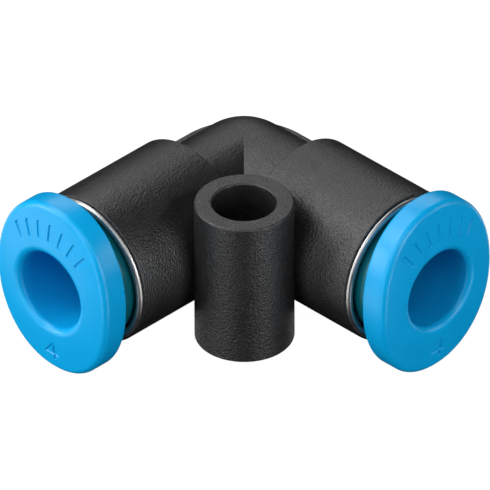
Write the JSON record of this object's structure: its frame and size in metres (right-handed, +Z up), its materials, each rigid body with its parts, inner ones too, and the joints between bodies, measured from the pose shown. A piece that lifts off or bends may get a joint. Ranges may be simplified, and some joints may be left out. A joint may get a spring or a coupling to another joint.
{
  "type": "push to connect fitting",
  "caption": "Right-angle push-in tube fitting with oval release rings at its ports, gripping claws and seals inside, and a round mounting sleeve in its inside corner.",
  "frame": {"origin": "under the middle of the fitting's outline, at the height of the release rings' lowest edges", "axes": "+X out of port A, +Y out of port B, +Z up the mounting sleeve"},
  "size_m": [0.0178, 0.0178, 0.0097],
  "materials": {
    "body_plastic": "black, fine moulded grain",
    "ring_plastic": "bright blue, satin",
    "collar_metal": "bright turned",
    "claw_steel": "stamped spring steel",
    "support_plastic": "natural, smooth",
    "seal_rubber": "moulded nitrile rubber"
  },
  "bodies": {
    "fitting_body": {"body": "body_plastic", "collar_a": "collar_metal", "claw_rim_a": "claw_steel", "support_ring_a": "support_plastic", "seal_a": "seal_rubber", "collar_b": "collar_metal", "claw_rim_b": "claw_steel", "support_ring_b": "support_plastic", "seal_b": "seal_rubber"},
    "ring_a": {"release_ring_a": "ring_plastic"},
    "claw_a_1": {"claw_a_1": "claw_steel"},
    "claw_a_2": {"claw_a_2": "claw_steel"},
    "claw_a_3": {"claw_a_3": "claw_steel"},
    "claw_a_4": {"claw_a_4": "claw_steel"},
    "claw_a_5": {"claw_a_5": "claw_steel"},
    "claw_a_6": {"claw_a_6": "claw_steel"},
    "ring_b": {"release_ring_b": "ring_plastic"},
    "claw_b_1": {"claw_b_1": "claw_steel"},
    "claw_b_2": {"claw_b_2": "claw_steel"},
    "claw_b_3": {"claw_b_3": "claw_steel"},
    "claw_b_4": {"claw_b_4": "claw_steel"},
    "claw_b_5": {"claw_b_5": "claw_steel"},
    "claw_b_6": {"claw_b_6": "claw_steel"}
  },
  "joints": [
    {"name": "ring_a_push", "type": "slide", "parent": "fitting_body", "child": "ring_a", "axis": [-1, 0, 0], "range_m": [0, 0.0008], "stiffness_N_per_m": 300},
    {"name": "claw_a_1_open", "type": "hinge", "parent": "fitting_body", "child": "claw_a_1", "pos_m": [0.00466, -0.00212, 0.00643], "axis": [0, 0.5, -0.866], "range_deg": [0, 10]},
    {"name": "claw_a_2_open", "type": "hinge", "parent": "fitting_body", "child": "claw_a_2", "pos_m": [0.00466, -0.00489, 0.00803], "axis": [0, 1, 0], "range_deg": [0, 10]},
    {"name": "claw_a_3_open", "type": "hinge", "parent": "fitting_body", "child": "claw_a_3", "pos_m": [0.00466, -0.00766, 0.00643], "axis": [0, 0.5, 0.866], "range_deg": [0, 10]},
    {"name": "claw_a_4_open", "type": "hinge", "parent": "fitting_body", "child": "claw_a_4", "pos_m": [0.00466, -0.00766, 0.00323], "axis": [0, -0.5, 0.866], "range_deg": [0, 10]},
    {"name": "claw_a_5_open", "type": "hinge", "parent": "fitting_body", "child": "claw_a_5", "pos_m": [0.00466, -0.00489, 0.00163], "axis": [0, -1, 0], "range_deg": [0, 10]},
    {"name": "claw_a_6_open", "type": "hinge", "parent": "fitting_body", "child": "claw_a_6", "pos_m": [0.00466, -0.00212, 0.00323], "axis": [0, -0.5, -0.866], "range_deg": [0, 10]},
    {"name": "ring_b_push", "type": "slide", "parent": "fitting_body", "child": "ring_b", "axis": [0, -1, 0], "range_m": [0, 0.0008], "stiffness_N_per_m": 300},
    {"name": "claw_b_1_open", "type": "hinge", "parent": "fitting_body", "child": "claw_b_1", "pos_m": [-0.00766, 0.00466, 0.00643], "axis": [-0.5, 0, -0.866], "range_deg": [0, 10]},
    {"name": "claw_b_2_open", "type": "hinge", "parent": "fitting_body", "child": "claw_b_2", "pos_m": [-0.00489, 0.00466, 0.00803], "axis": [-1, 0, 0], "range_deg": [0, 10]},
    {"name": "claw_b_3_open", "type": "hinge", "parent": "fitting_body", "child": "claw_b_3", "pos_m": [-0.00212, 0.00466, 0.00643], "axis": [-0.5, 0, 0.866], "range_deg": [0, 10]},
    {"name": "claw_b_4_open", "type": "hinge", "parent": "fitting_body", "child": "claw_b_4", "pos_m": [-0.00212, 0.00466, 0.00323], "axis": [0.5, 0, 0.866], "range_deg": [0, 10]},
    {"name": "claw_b_5_open", "type": "hinge", "parent": "fitting_body", "child": "claw_b_5", "pos_m": [-0.00489, 0.00466, 0.00163], "axis": [1, 0, 0], "range_deg": [0, 10]},
    {"name": "claw_b_6_open", "type": "hinge", "parent": "fitting_body", "child": "claw_b_6", "pos_m": [-0.00766, 0.00466, 0.00323], "axis": [0.5, 0, -0.866], "range_deg": [0, 10]}
  ],
  "couplings": [
    {"joint": "claw_a_1_open", "follows": "ring_a_push", "rad_per_m": 218},
    {"joint": "claw_a_2_open", "follows": "ring_a_push", "rad_per_m": 218},
    {"joint": "claw_a_3_open", "follows": "ring_a_push", "rad_per_m": 218},
    {"joint": "claw_a_4_open", "follows": "ring_a_push", "rad_per_m": 218},
    {"joint": "claw_a_5_open", "follows": "ring_a_push", "rad_per_m": 218},
    {"joint": "claw_a_6_open", "follows": "ring_a_push", "rad_per_m": 218},
    {"joint": "claw_b_1_open", "follows": "ring_b_push", "rad_per_m": 218},
    {"joint": "claw_b_2_open", "follows": "ring_b_push", "rad_per_m": 218},
    {"joint": "claw_b_3_open", "follows": "ring_b_push", "rad_per_m": 218},
    {"joint": "claw_b_4_open", "follows": "ring_b_push", "rad_per_m": 218},
    {"joint": "claw_b_5_open", "follows": "ring_b_push", "rad_per_m": 218},
    {"joint": "claw_b_6_open", "follows": "ring_b_push", "rad_per_m": 218}
  ]
}
